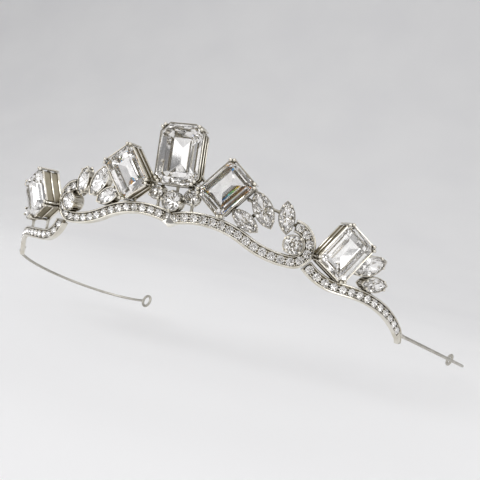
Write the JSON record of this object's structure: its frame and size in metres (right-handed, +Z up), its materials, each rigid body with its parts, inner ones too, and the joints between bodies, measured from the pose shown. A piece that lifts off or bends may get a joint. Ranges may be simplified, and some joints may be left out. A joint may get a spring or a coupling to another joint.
{
  "type": "bridal tiara",
  "caption": "Scrolling pave tiara with claw-set step-cut, navette and round stones, a brow V, and two sprung wire arms that end in hair-grip eyelets.",
  "frame": {"origin": "lowest back point of the brow V, where the tiara rests on the hair over the forehead", "axes": "+X to the right when seen from the front, -Y the way the stones face, +Z up with the middle stone upright, as worn"},
  "size_m": [0.1955, 0.1218, 0.074],
  "materials": {
    "plated_metal": "bright plated, slightly warm",
    "satin_wire": "satin drawn wire",
    "crystal": "polished, foil-backed",
    "pave_crystal": "polished, foil-backed"
  },
  "bodies": {
    "frame": {"inner_left_band": "plated_metal", "inner_right_band": "plated_metal", "outer_left_band": "plated_metal", "outer_right_band": "plated_metal", "v_point": "plated_metal", "inner_left_pave": "pave_crystal", "inner_right_pave": "pave_crystal", "outer_left_pave": "pave_crystal", "outer_right_pave": "pave_crystal", "centre_setting": "plated_metal", "centre_stone": "crystal", "inner_left_setting": "plated_metal", "inner_left_stone": "crystal", "inner_right_setting": "plated_metal", "inner_right_stone": "crystal", "outer_left_setting": "plated_metal", "outer_left_stone": "crystal", "outer_right_setting": "plated_metal", "outer_right_stone": "crystal", "tall_left_navette_setting": "plated_metal", "tall_left_navette": "crystal", "tall_right_navette_setting": "plated_metal", "tall_right_navette": "crystal", "low_left_navette_setting": "plated_metal", "low_left_navette": "crystal", "low_right_navette_setting": "plated_metal", "low_right_navette": "crystal", "scroll_left_navette_setting": "plated_metal", "scroll_left_navette": "crystal", "scroll_right_navette_setting": "plated_metal", "scroll_right_navette": "crystal", "fan_left_navette_setting": "plated_metal", "fan_left_navette": "crystal", "fan_right_navette_setting": "plated_metal", "fan_right_navette": "crystal", "base_left_navette_setting": "plated_metal", "base_left_navette": "crystal", "base_right_navette_setting": "plated_metal", "base_right_navette": "crystal", "brow_round_setting": "plated_metal", "brow_round": "crystal", "bud_left_setting": "plated_metal", "bud_left": "crystal", "bud_right_setting": "plated_metal", "bud_right": "crystal", "scroll_left_round_setting": "plated_metal", "scroll_left_round": "crystal", "scroll_right_round_setting": "plated_metal", "scroll_right_round": "crystal", "solder_links_centre": "plated_metal", "solder_links_left": "plated_metal", "solder_links_right": "plated_metal"},
    "left_arm": {"left_arm_wire": "satin_wire", "left_arm_eyelet": "satin_wire"},
    "right_arm": {"right_arm_wire": "satin_wire", "right_arm_eyelet": "satin_wire"}
  },
  "joints": [
    {"name": "left_arm_flex", "type": "hinge", "parent": "frame", "child": "left_arm", "pos_m": [-0.07576, 0.03036, -0.021], "axis": [0, 0.3714, 0.9285], "range_deg": [-10, 14], "stiffness_Nm_per_rad": 0.65},
    {"name": "right_arm_flex", "type": "hinge", "parent": "frame", "child": "right_arm", "pos_m": [0.07576, 0.03036, -0.021], "axis": [-0.2409, -0.1156, -0.9636], "range_deg": [-10, 14], "stiffness_Nm_per_rad": 0.65}
  ]
}
